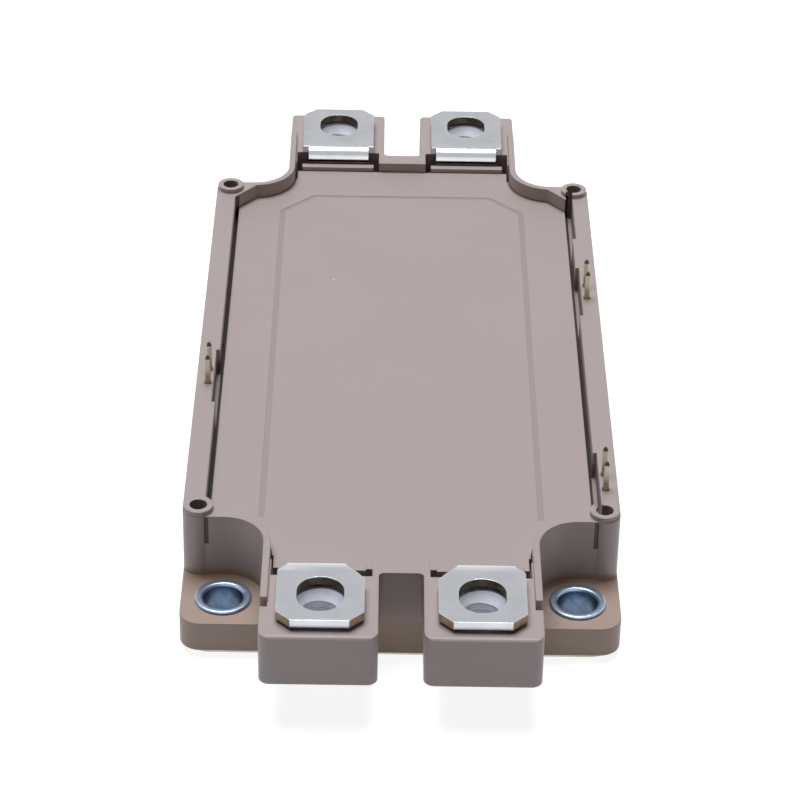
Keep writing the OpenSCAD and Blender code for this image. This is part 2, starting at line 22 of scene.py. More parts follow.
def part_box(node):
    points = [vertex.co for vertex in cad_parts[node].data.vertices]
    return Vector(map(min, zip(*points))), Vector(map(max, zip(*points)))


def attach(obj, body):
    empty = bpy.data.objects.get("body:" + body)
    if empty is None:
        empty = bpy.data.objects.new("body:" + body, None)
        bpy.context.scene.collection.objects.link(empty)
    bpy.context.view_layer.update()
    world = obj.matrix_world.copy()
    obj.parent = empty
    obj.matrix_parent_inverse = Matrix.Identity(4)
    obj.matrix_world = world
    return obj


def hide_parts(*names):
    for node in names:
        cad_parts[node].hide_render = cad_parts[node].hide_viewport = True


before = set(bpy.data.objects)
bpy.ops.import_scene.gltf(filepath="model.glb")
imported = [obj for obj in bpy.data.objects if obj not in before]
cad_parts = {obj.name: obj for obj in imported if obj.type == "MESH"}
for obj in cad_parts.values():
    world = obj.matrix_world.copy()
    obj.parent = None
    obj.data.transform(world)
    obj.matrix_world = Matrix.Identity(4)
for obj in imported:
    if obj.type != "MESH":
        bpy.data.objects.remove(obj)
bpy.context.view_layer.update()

log = logging.getLogger("power_module")
MM = 0.001
SAME_POINT = 1e-6  # points closer than this are merged
FLAT = math.radians(0.5)  # faces that meet at less than this are one face
SHARP = math.radians(35)  # edges that turn by more than this are rounded
EDGE_SAMPLES = 6  # rays that find the softened normal of a shaded edge
ENDS = {"front": -1, "rear": 1}
SIDES = ("left", "right")
PLACES = ("front", "middle", "rear")


# ---------------------------------------------------------------------------
# Small helpers
# ---------------------------------------------------------------------------


def linear(hex_colour: str) -> tuple[float, float, float, float]:
    """Turns an sRGB hex colour into the linear values that shaders take.

    Args:
        hex_colour: Colour such as "#ada3a2".

    Returns:
        Linear red, green, blue and an alpha of 1.
    """
    values = [int(hex_colour[i : i + 2], 16) / 255 for i in (1, 3, 5)]
    red, green, blue = (v / 12.92 if v <= 0.04045 else ((v + 0.055) / 1.055) ** 2.4 for v in values)
    return red, green, blue, 1.0


def per_mm(size: float) -> float:
    """Returns the texture scale, per metre, of a pattern that repeats every size millimetres."""
    return 1.0 / (size * MM)


def add_node(
    tree: bpy.types.NodeTree, kind: str, inputs: dict[str | int, Any] | None = None, **settings: Any
) -> bpy.types.Node:
    """Adds one node with its settings, its values and its links.

    Args:
        tree: Node tree that takes the node.
        kind: The node's type name.
        inputs: Socket name or number to a value, or to the output socket that feeds it.
        **settings: Attributes of the node, set before its sockets are filled.

    Returns:
        The new node.
    """
    node = tree.nodes.new(kind)
    for name, value in settings.items():
        setattr(node, name, value)
    for socket, value in (inputs or {}).items():
        if isinstance(value, bpy.types.NodeSocket):
            tree.links.new(value, node.inputs[socket])
        else:
            node.inputs[socket].default_value = value
    return node


def new_material(name: str) -> tuple[bpy.types.Material, bpy.types.NodeTree]:
    """Returns a new material of that name and its emptied node tree."""
    material = bpy.data.materials.new(name)
    material.use_nodes = True
    material.node_tree.nodes.clear()
    return material, material.node_tree


def finish_material(tree: bpy.types.NodeTree, inputs: dict[str | int, Any]) -> None:
    """Adds the Principled shader with these inputs and joins it to the output."""
    shader = add_node(tree, "ShaderNodeBsdfPrincipled", inputs)
    add_node(tree, "ShaderNodeOutputMaterial", {"Surface": shader.outputs[0]})


def mesh_object(name: str, points: np.ndarray, faces: np.ndarray, smooth: bool = True) -> bpy.types.Object:
    """Makes a mesh object at the origin from arrays.

    Args:
        name: Name of the object and its mesh.
        points: Array of shape (n, 3), in metres.
        faces: Array of shape (m, 4), vertex numbers, counter-clockwise from outside.
        smooth: Whether the faces are shaded smooth.

    Returns:
        The linked object.
    """
    mesh = bpy.data.meshes.new(name)
    mesh.vertices.add(len(points))
    mesh.vertices.foreach_set("co", points.astype(np.float32).ravel())
    mesh.loops.add(faces.size)
    mesh.loops.foreach_set("vertex_index", faces.astype(np.int32).ravel())
    mesh.polygons.add(len(faces))
    mesh.polygons.foreach_set("loop_start", np.arange(0, faces.size, faces.shape[1], dtype=np.int32))
    mesh.update(calc_edges=True)
    mesh.validate()
    mesh.polygons.foreach_set("use_smooth", np.full(len(faces), smooth))
    piece = bpy.data.objects.new(name, mesh)
    bpy.context.scene.collection.objects.link(piece)
    return piece


def grid_faces(rows: int, columns: int, wrap_rows: bool, wrap_columns: bool) -> np.ndarray:
    """Returns the quads of a grid of points that is numbered row by row.

    Args:
        rows: Number of rows.
        columns: Number of points in a row.
        wrap_rows: Whether the last row joins the first.
        wrap_columns: Whether the last column joins the first.

    Returns:
        Array of shape (m, 4).
    """
    row = np.arange(rows if wrap_rows else rows - 1)[:, None]
    place = np.arange(columns if wrap_columns else columns - 1)[None, :]
    next_row = (row + 1) % rows
    next_place = (place + 1) % columns
    corners = [
        row * columns + place,
        row * columns + next_place,
        next_row * columns + next_place,
        next_row * columns + place,
    ]
    return np.stack(corners, -1).reshape(-1, 4)


def mesh_points(mesh: bpy.types.Mesh) -> np.ndarray:
    """Returns the mesh's points as an array of shape (n, 3)."""
    points = np.empty(3 * len(mesh.vertices), dtype=np.float32)
    mesh.vertices.foreach_get("co", points)
    return points.reshape(-1, 3)


def move_points(mesh: bpy.types.Mesh, points: np.ndarray) -> None:
    """Puts the mesh's points at the places in an array of shape (n, 3)."""
    mesh.vertices.foreach_set("co", points.ravel())
    mesh.update()


def merged_copy(node: str, name: str, flat: float = 0.0) -> bpy.types.Object:
    """Copies a CAD node as a new piece and merges its loose triangles.

    Args:
        node: Name of the CAD node.
        name: Name of the new piece.
        flat: Faces that meet at less than this angle become one; 0 keeps every face.

    Returns:
        The linked piece, which rides on the one body and stands for the node.
    """
    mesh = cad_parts[node].data.copy()
    mesh.name = name
    work = bmesh.new()
    work.from_mesh(mesh)
    bmesh.ops.remove_doubles(work, verts=work.verts[:], dist=SAME_POINT)
    if flat:
        bmesh.ops.dissolve_limit(work, angle_limit=flat, verts=work.verts[:], edges=work.edges[:])
    work.to_mesh(mesh)
    work.free()
    piece = bpy.data.objects.new(name, mesh)
    bpy.context.scene.collection.objects.link(piece)
    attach(piece, "root")
    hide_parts(node)
    return piece


def softened_copy(node: str, name: str, width: float, segments: int) -> bpy.types.Object:
    """Makes a merged copy of a CAD node and rounds its sharp edges.

    Args:
        node: Name of the CAD node.
        name: Name of the new piece.
        width: Width of the rounding, in metres.
        segments: Number of steps across the rounding.

    Returns:
        The piece, which rides on the one body and stands for the node.
    """
    piece = merged_copy(node, name, FLAT)
    mesh = piece.data
    mesh.materials.clear()
    mesh.polygons.foreach_set("use_smooth", np.full(len(mesh.polygons), True))
    if "custom_normal" in mesh.attributes:
        mesh.attributes.remove(mesh.attributes["custom_normal"])
    bevel = piece.modifiers.new("round_edges", "BEVEL")
    bevel.width = width
    bevel.segments = segments
    bevel.limit_method = "ANGLE"
    bevel.angle_limit = SHARP
    bevel.harden_normals = True
    bevel.use_clamp_overlap = True
    return piece


def dress(piece: bpy.types.Object, material: bpy.types.Material) -> None:
    """Gives all of the piece's faces one material."""
    piece.data.materials.clear()
    piece.data.materials.append(material)


def dress_node(node: str, material: bpy.types.Material) -> None:
    """Gives a CAD node a material in every one of its slots."""
    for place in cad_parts[node].material_slots:
        place.material = material


# ---------------------------------------------------------------------------
# Finishes
# ---------------------------------------------------------------------------


@dataclass(frozen=True)
class PaintedSeamShade:
    """Two long seams, one on each side of the middle plane, darkened as painted shade of the crevice
    beside the lid.
    """

    middle: float
    half_width: float
    half_length: float
    low: float
    high: float
    # painted shade: the dark colour of the crevice between the lid and the rail
    colour: str = "#33271f"

    def mask(self, tree: bpy.types.NodeTree, spot: bpy.types.Node) -> bpy.types.NodeSocket:
        """Adds the test whether a point lies in one of the seams.

        Args:
            tree: The material's node tree.
            spot: Node that gives the point's X, Y and Z.

        Returns:
            Socket that is 1 in the seams and 0 elsewhere.
        """
        aside = add_node(tree, "ShaderNodeMath", {0: spot.outputs["X"]}, operation="ABSOLUTE")
        along = add_node(tree, "ShaderNodeMath", {0: spot.outputs["Y"]}, operation="ABSOLUTE")
        in_width = add_node(
            tree,
            "ShaderNodeMath",
            {0: aside.outputs[0], 1: self.middle, 2: self.half_width},
            operation="COMPARE",
        )
        in_length = add_node(
            tree, "ShaderNodeMath", {0: along.outputs[0], 1: self.half_length}, operation="LESS_THAN"
        )
        in_height = add_node(
            tree,
            "ShaderNodeMath",
            {0: spot.outputs["Z"], 1: (self.low + self.high) / 2, 2: (self.high - self.low) / 2},
            operation="COMPARE",
        )
        in_plan = add_node(
            tree, "ShaderNodeMath", {0: in_width.outputs[0], 1: in_length.outputs[0]}, operation="MULTIPLY"
        )
        in_seam = add_node(
            tree, "ShaderNodeMath", {0: in_plan.outputs[0], 1: in_height.outputs[0]}, operation="MULTIPLY"
        )
        return in_seam.outputs[0]


@dataclass(frozen=True)
class MouldedPolyester:
    """Glass-filled polyester, moulded against a spark-eroded tool: dull, finely grained, warm grey."""

    seam: PaintedSeamShade
    foot_heights: tuple[float, float]
    name: str = "glass_filled_polyester"
    colour: str = "#ad9e96"
    cloud_colour: str = "#a89890"
    # painted highlight along the rounded edges
    edge_highlight_colour: str = "#baaba3"
    # painted shade on the groove's floor
    sunk_shade_colour: str = "#9d8e88"
    # painted shade: the foot with the ears is browner and darker
    foot_shade_colour: str = "#a68f7e"
    pale_speck_colour: str = "#d9d2cb"
    dark_speck_colour: str = "#6b5f5a"
    sunk_below: float = -1.0  # under the whole part, so that nothing is sunk unless it is said
    roughness: tuple[float, float] = (0.42, 0.52)
    ior: float = 1.55
    grain_mm: float = 0.32  # real spark texture is near 0.05 mm and would not show
    grain_depth_mm: float = 0.012
    grain_strength: float = 0.6
    cloud_mm: float = 16.0
    speck_mm: float = 5.5
    speck_fade: tuple[float, float] = (0.045, 0.02)  # distances from a cell's middle, in cells
    pale_above: float = 0.93  # of the cells' random numbers
    dark_below: float = 0.05
    edge_mm: float = 0.32
    edge_turn: tuple[float, float] = (0.995, 0.80)  # cosines, from a flat face to a full edge
    edge_share: float = 0.55

    def with_specks(
        self, tree: bpy.types.NodeTree, place: bpy.types.NodeSocket, body: bpy.types.Node
    ) -> bpy.types.Node:
        """Puts a speck in the middle of a few cells of a cell pattern, pale in some and dark in others.

        Args:
            tree: The material's node tree.
            place: Socket that gives the point.
            body: Node that gives the colour without specks.

        Returns:
            Node that gives the colour with specks.
        """
        cells = add_node(tree, "ShaderNodeTexVoronoi", {"Vector": place, "Scale": per_mm(self.speck_mm)})
        clear, full = self.speck_fade
        near = add_node(
            tree,
            "ShaderNodeMapRange",
            {"Value": cells.outputs["Distance"], "From Min": clear, "From Max": full},
        )
        chance = add_node(tree, "ShaderNodeSeparateColor", {"Color": cells.outputs["Color"]})
        kinds = (
            ("GREATER_THAN", self.pale_above, self.pale_speck_colour),
            ("LESS_THAN", self.dark_below, self.dark_speck_colour),
        )
        for test, limit, colour in kinds:
            picked = add_node(tree, "ShaderNodeMath", {0: chance.outputs[0], 1: limit}, operation=test)
            here = add_node(
                tree, "ShaderNodeMath", {0: picked.outputs[0], 1: near.outputs[0]}, operation="MULTIPLY"
            )
            body = add_node(
                tree,
                "ShaderNodeMix",
                {"Factor": here.outputs[0], 6: body.outputs[2], 7: linear(colour)},
                data_type="RGBA",
            )
        return body

    def with_heights(
        self, tree: bpy.types.NodeTree, height: bpy.types.NodeSocket, body: bpy.types.Node
    ) -> bpy.types.Node:
        """Paints shade by height: a groove's floor is darker, and the foot with the ears is browner and
        darker.

        Args:
            tree: The material's node tree.
            height: Socket that gives the point's height.
            body: Node that gives the colour of the main faces.

        Returns:
            Node that gives the shaded colour.
        """
        # painted shade on the groove's floor, just under the lid's top
        sunk = add_node(tree, "ShaderNodeMath", {0: height, 1: self.sunk_below}, operation="LESS_THAN")
        with_groove_shade = add_node(
            tree,
            "ShaderNodeMix",
            {"Factor": sunk.outputs[0], 6: body.outputs[2], 7: linear(self.sunk_shade_colour)},
            data_type="RGBA",
        )
        # painted shade over the foot, fading out above the ears' collars
        low, high = self.foot_heights
        above_foot = add_node(
            tree, "ShaderNodeMapRange", {"Value": height, "From Min": low, "From Max": high}
        )
        return add_node(
            tree,
            "ShaderNodeMix",
            {"Factor": above_foot.outputs[0], 6: linear(self.foot_shade_colour), 7: with_groove_shade.outputs[2]},
            data_type="RGBA",
        )

    def edge_highlight_mask(self, tree: bpy.types.NodeTree, rounded: bpy.types.NodeSocket) -> bpy.types.NodeSocket:
        """Finds the edges, where the rounded normal leaves the flat one and the painted highlight goes.

        Args:
            tree: The material's node tree.
            rounded: Socket that gives the normal of the softened edges.

        Returns:
            Socket that rises from 0 on a flat face to the edge share on an edge.
        """
        flat = add_node(tree, "ShaderNodeNewGeometry").outputs["True Normal"]
        along = add_node(tree, "ShaderNodeVectorMath", {0: rounded, 1: flat}, operation="DOT_PRODUCT")
        face, full = self.edge_turn
        edge = add_node(
            tree,
            "ShaderNodeMapRange",
            {
                "Value": along.outputs["Value"],
                "From Min": face,
                "From Max": full,
                "To Max": self.edge_share,
            },
        )
        return edge.outputs[0]

    def material(self) -> bpy.types.Material:
        """Builds the material.

        Returns:
            A dull plastic with soft clouds, fine grain, a few specks, paler edges as a painted highlight,
            and painted shade in the groove, at the foot and in the seams.
        """
        made, tree = new_material(self.name)
        place = add_node(tree, "ShaderNodeTexCoord").outputs["Object"]
        grain = add_node(
            tree, "ShaderNodeTexNoise", {"Vector": place, "Scale": per_mm(self.grain_mm), "Detail": 2.0}
        )
        cloud = add_node(
            tree, "ShaderNodeTexNoise", {"Vector": place, "Scale": per_mm(self.cloud_mm), "Detail": 3.0}
        )
        body = add_node(
            tree,
            "ShaderNodeMix",
            {"Factor": cloud.outputs["Fac"], 6: linear(self.colour), 7: linear(self.cloud_colour)},
            data_type="RGBA",
        )
        specked = self.with_specks(tree, place, body)
        spot = add_node(tree, "ShaderNodeSeparateXYZ", {"Vector": place})
        shaded = self.with_heights(tree, spot.outputs["Z"], specked)
        rounded = add_node(
            tree, "ShaderNodeBevel", {"Radius": self.edge_mm * MM}, samples=EDGE_SAMPLES
        ).outputs[0]
        # painted highlight: the edges turn paler
        with_edge_highlight = add_node(
            tree,
            "ShaderNodeMix",
            {
                "Factor": self.edge_highlight_mask(tree, rounded),
                6: shaded.outputs[2],
                7: linear(self.edge_highlight_colour),
            },
            data_type="RGBA",
        )
        # painted shade in the seams beside the lid
        with_seam_shade = add_node(
            tree,
            "ShaderNodeMix",
            {
                "Factor": self.seam.mask(tree, spot),
                6: with_edge_highlight.outputs[2],
                7: linear(self.seam.colour),
            },
            data_type="RGBA",
        )
        low, high = self.roughness
        rough = add_node(
            tree, "ShaderNodeMapRange", {"Value": cloud.outputs["Fac"], "To Min": low, "To Max": high}
        )
        bump = add_node(
            tree,
            "ShaderNodeBump",
            {
                "Height": grain.outputs["Fac"],
                "Strength": self.grain_strength,
                "Distance": self.grain_depth_mm * MM,
                "Normal": rounded,
            },
        )
        finish_material(
            tree,
            {
                "Base Color": with_seam_shade.outputs[2],
                "Roughness": rough.outputs[0],
                "IOR": self.ior,
                "Normal": bump.outputs[0],
            },
        )
        return made


@dataclass(frozen=True)
class PlatedMetal:
    """A plated sheet or turned part: satin, with rolling lines, dull patches and softened edges."""

    name: str
    colour: str
    dull_colour: str
    roughness: tuple[float, float] = (0.26, 0.4)
    line_mm: tuple[float, float, float] = (0.12, 6.0, 0.12)
    line_depth_mm: float = 0.003
    line_strength: float = 0.5
    patch_mm: float = 4.0
    patch_range: tuple[float, float] = (0.3, 0.7)  # noise values, from the bright colour to the dull one
    edge_mm: float = 0.15
    metallic: float = 1.0

    def material(self) -> bpy.types.Material:
        """Builds the material.

        Returns:
            A metal whose lines run along the longest of its three line sizes.
        """
        made, tree = new_material(self.name)
        place = add_node(tree, "ShaderNodeTexCoord").outputs["Object"]
        stretch = add_node(
            tree,
            "ShaderNodeMapping",
            {"Vector": place, "Scale": tuple(per_mm(size) for size in self.line_mm)},
        )
        lines = add_node(
            tree, "ShaderNodeTexNoise", {"Vector": stretch.outputs[0], "Scale": 1.0, "Detail": 2.0}
        )
        patch = add_node(
            tree, "ShaderNodeTexNoise", {"Vector": place, "Scale": per_mm(self.patch_mm), "Detail": 4.0}
        )
        bright, dull = self.patch_range
        spread = add_node(
            tree,
            "ShaderNodeMapRange",
            {"Value": patch.outputs["Fac"], "From Min": bright, "From Max": dull},
        )
        colour = add_node(
            tree,
            "ShaderNodeMix",
            {"Factor": spread.outputs[0], 6: linear(self.colour), 7: linear(self.dull_colour)},
            data_type="RGBA",
        )
        low, high = self.roughness
        rough = add_node(
            tree, "ShaderNodeMapRange", {"Value": patch.outputs["Fac"], "To Min": low, "To Max": high}
        )
        rounded = add_node(
            tree, "ShaderNodeBevel", {"Radius": self.edge_mm * MM}, samples=EDGE_SAMPLES
        )
        bump = add_node(
            tree,
            "ShaderNodeBump",
            {
                "Height": lines.outputs["Fac"],
                "Strength": self.line_strength,
                "Distance": self.line_depth_mm * MM,
                "Normal": rounded.outputs[0],
            },
        )
        finish_material(
            tree,
            {
                "Base Color": colour.outputs[2],
                "Metallic": self.metallic,
                "Roughness": rough.outputs[0],
                "Normal": bump.outputs[0],
            },
        )
        return made


@dataclass(frozen=True)
class InnerFinish:
    """A plain inner material: fine mottling in colour and roughness, for what the housing covers."""

    name: str
    colour: str
    second_colour: str
    metallic: float = 0.0
    roughness: tuple[float, float] = (0.4, 0.6)
    mottle_mm: float = 0.8

    def material(self) -> bpy.types.Material:
        """Builds the material.

        Returns:
            A mottled surface.
        """
        made, tree = new_material(self.name)
        place = add_node(tree, "ShaderNodeTexCoord").outputs["Object"]
        mottle = add_node(
            tree, "ShaderNodeTexNoise", {"Vector": place, "Scale": per_mm(self.mottle_mm), "Detail": 3.0}
        )
        colour = add_node(
            tree,
            "ShaderNodeMix",
            {"Factor": mottle.outputs["Fac"], 6: linear(self.colour), 7: linear(self.second_colour)},
            data_type="RGBA",
        )
        low, high = self.roughness
        rough = add_node(
            tree, "ShaderNodeMapRange", {"Value": mottle.outputs["Fac"], "To Min": low, "To Max": high}
        )
        finish_material(
            tree,
            {"Base Color": colour.outputs[2], "Metallic": self.metallic, "Roughness": rough.outputs[0]},
        )
        return made


@dataclass(frozen=True)
class ContactWire:
    """Tin-flashed brass wire: pale at mid height, olive at its foot, dark at its cut end."""

    top: float
    name: str = "tin_flashed_brass_wire"
    pale: str = "#cbc7b8"
    dull: str = "#a39c88"
    foot: str = "#958a66"
    cut_end: str = "#3d3733"
    foot_below: float = 2.9 * MM
    cut_below: float = 0.45 * MM
    foot_fade: float = 0.5 * MM
    cut_fade: float = 0.15 * MM
    streak_mm: tuple[float, float, float] = (0.12, 0.12, 2.5)
    metallic: float = 0.8
    roughness: tuple[float, float] = (0.3, 0.45)

    def material(self) -> bpy.types.Material:
        """Builds the material.

        Returns:
            A metal whose colour follows the height along the wire.
        """
        made, tree = new_material(self.name)
        place = add_node(tree, "ShaderNodeTexCoord").outputs["Object"]
        height = add_node(tree, "ShaderNodeSeparateXYZ", {"Vector": place}).outputs["Z"]
        stretch = add_node(
            tree,
            "ShaderNodeMapping",
            {"Vector": place, "Scale": tuple(per_mm(size) for size in self.streak_mm)},
        )
        streak = add_node(
            tree, "ShaderNodeTexNoise", {"Vector": stretch.outputs[0], "Scale": 1.0, "Detail": 2.0}
        )
        body = add_node(
            tree,
            "ShaderNodeMix",
            {"Factor": streak.outputs["Fac"], 6: linear(self.pale), 7: linear(self.dull)},
            data_type="RGBA",
        )
        foot_height = self.top - self.foot_below
        above_foot = add_node(
            tree,
            "ShaderNodeMapRange",
            {
                "Value": height,
                "From Min": foot_height - self.foot_fade,
                "From Max": foot_height + self.foot_fade,
            },
        )
        with_foot = add_node(
            tree,
            "ShaderNodeMix",
            {"Factor": above_foot.outputs[0], 6: linear(self.foot), 7: body.outputs[2]},
            data_type="RGBA",
        )
        cut_height = self.top - self.cut_below
        at_end = add_node(
            tree,
            "ShaderNodeMapRange",
            {"Value": height, "From Min": cut_height - self.cut_fade, "From Max": cut_height},
        )
        colour = add_node(
            tree,
            "ShaderNodeMix",
            {"Factor": at_end.outputs[0], 6: with_foot.outputs[2], 7: linear(self.cut_end)},
            data_type="RGBA",
        )
        low, high = self.roughness
        rough = add_node(
            tree, "ShaderNodeMapRange", {"Value": streak.outputs["Fac"], "To Min": low, "To Max": high}
        )
        finish_material(
            tree,
            {"Base Color": colour.outputs[2], "Metallic": self.metallic, "Roughness": rough.outputs[0]},
        )
        return made


# rolled strip with a tin flash: a soft grey mirror with faint lines along its length
TINNED_COPPER = PlatedMetal("tin_plated_copper_strip", "#cfd1d5", "#c2c4c9", roughness=(0.15, 0.26))
# the punched hole's wall: torn copper, dull, and darkened to a deep brown as painted shade of the hole
SHEARED_COPPER_AND_SHADE = PlatedMetal(
    "sheared_copper_edge_and_shade",
    "#6d6350",
    "#4a4236",
    roughness=(0.4, 0.6),
    line_mm=(0.15, 0.15, 2.0),
    patch_mm=1.2,
)
# the strip's cut sides, which the tin only half covers: a warm tan
WORN_EDGE = PlatedMetal(
    "half_plated_copper_edge",
    "#b3a18b",
    "#8f7c66",
    roughness=(0.35, 0.5),
    line_mm=(0.15, 0.15, 2.0),
    patch_mm=1.2,
)
# the leg's lower part, darkened as painted shade: dark brown with little shine, for its shadow and the
# dark slot it mirrors
SHADED_LEG = PlatedMetal(
    "strip_leg_painted_shade",
    "#6a5850",
    "#4c3e38",
    roughness=(0.4, 0.55),
    line_mm=(0.5, 0.5, 2.0),
    patch_mm=1.5,
)
# zinc on rolled steel, passivated blue: cool and bright, a little uneven
ZINC_STEEL = PlatedMetal(
    "blue_zinc_plated_steel",
    "#b4c2d4",
    "#93a5ba",
    roughness=(0.24, 0.42),
    line_mm=(0.5, 0.5, 0.5),
    patch_mm=1.5,
    metallic=0.9,
)
# the same plating in the bore, darker as painted shade: a deep steel blue
SHADED_ZINC_BORE = PlatedMetal(
    "zinc_bore_painted_shade",
    "#70839d",
    "#52647c",
    roughness=(0.26, 0.44),
    line_mm=(0.4, 0.4, 0.4),
    patch_mm=1.5,
)
# bright zinc on turned nuts: nearly white, so that the thread reads as grey rings
BRIGHT_STEEL = PlatedMetal(
    "bright_zinc_plated_nut",
    "#f4f6fa",
    "#e4e8ee",
    roughness=(0.25, 0.4),
    line_mm=(0.3, 0.3, 0.3),
    patch_mm=2.0,
    metallic=0.15,
)
# nickel on milled copper: a warm grey with long lines
NICKEL_PLATE = PlatedMetal("nickel_plated_copper_plate", "#cfc8bd", "#bdb5a9", roughness=(0.3, 0.42))
# what lies inside: bonded copper, fired ceramic, polished chips, drawn wire, glaze and clear gel
BARE_COPPER = InnerFinish("bare_bonded_copper", "#c0744f", "#a9603f", metallic=1.0, roughness=(0.3, 0.45))
ALUMINA = InnerFinish("fired_alumina", "#e9e8e4", "#dcdad5")
SILICON = InnerFinish("polished_silicon", "#4a4e57", "#3b3f48", roughness=(0.12, 0.2))
BOND_WIRE = InnerFinish(
    "drawn_aluminium_wire", "#cfd0d2", "#bcbec1", metallic=1.0, roughness=(0.25, 0.35)
)
SENSOR_GLAZE = InnerFinish("dark_green_glaze", "#2f3b2f", "#243024", roughness=(0.2, 0.3))
SOFT_GEL = InnerFinish("soft_silicone_gel", "#d8dfdc", "#cdd6d2", roughness=(0.15, 0.25))


# ---------------------------------------------------------------------------
# Sub-assemblies
# ---------------------------------------------------------------------------


@dataclass
class Housing:
    """The moulded frame and the lid that snaps into it."""

    groove_seen_depth: float = 0.06 * MM
    groove_reach: float = 0.3 * MM
    foot_fade: tuple[float, float] = (0.3 * MM, 0.9 * MM)  # above the ears' collars
    # where the painted shade of the seams lies:
    seam_inside: float = 0.04 * MM  # the seam's reach from the lid's side, inwards
    seam_outside: float = 0.58 * MM  # and outwards
    seam_short: float = 7.95 * MM  # how far it stops before the lid's end
    seam_down: float = 2.2 * MM  # how far it goes under the lid's top
    seam_up: float = 2.3 * MM  # and above it, on the rail's wall

    def finish(self, **settings: Any) -> MouldedPolyester:
        """Returns the moulded finish with the painted shade of its seams and its foot in place.

        Args:
            **settings: Further values of the finish.

        Returns:
            The finish, whose seams run along the lid's long sides.
        """
        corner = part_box("lid")[1]
        collar_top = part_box("bushings")[1].z
        low, high = self.foot_fade
        seam = PaintedSeamShade(
            middle=corner.x + (self.seam_outside - self.seam_inside) / 2,
            half_width=(self.seam_outside + self.seam_inside) / 2,
            half_length=corner.y - self.seam_short,
            low=corner.z - self.seam_down,
            high=corner.z + self.seam_up,
        )
        return MouldedPolyester(seam=seam, foot_heights=(collar_top + low, collar_top + high), **settings)

    def lid(self) -> None:
        """Makes a merged copy of the lid whose decorative groove is shallower than the solid's.

        Each point just under the top face, which is the groove's floor, is lifted to the depth that is
        seen, and the floor gets a darker colour as painted shade.
        """
        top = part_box("lid")[1].z
        piece = merged_copy("lid", "moulded_lid")
        points = mesh_points(piece.data)
        z = points[:, 2]
        sunk_below = top - 0.5 * self.groove_seen_depth
        sunk = (z < sunk_below) & (z > top - self.groove_reach)
        z[sunk] = top - self.groove_seen_depth
        move_points(piece.data, points)
        dress(piece, self.finish(name="glass_filled_polyester_lid", sunk_below=sunk_below).material())
        log.info("%s: groove lifted at %d points", piece.name, int(sunk.sum()))

    def build(self) -> None:
        """Dresses the frame and makes the lid."""
        dress_node("case_frame", self.finish().material())
        self.lid()
        log.info("case_frame dressed")


@dataclass
class BasePlate:
    """The plated copper plate that is screwed to the heat sink."""

    def dress(self) -> None:
        """Gives the plate its plated finish."""
        dress_node("base_plate", NICKEL_PLATE.material())
        log.info("base_plate dressed")


class StripFace(IntEnum):
    """The kinds of face on a terminal strip, in the order of its material slots."""

    PLATED = 0
    SHEARED = 1
    WORN = 2
    STAINED = 3


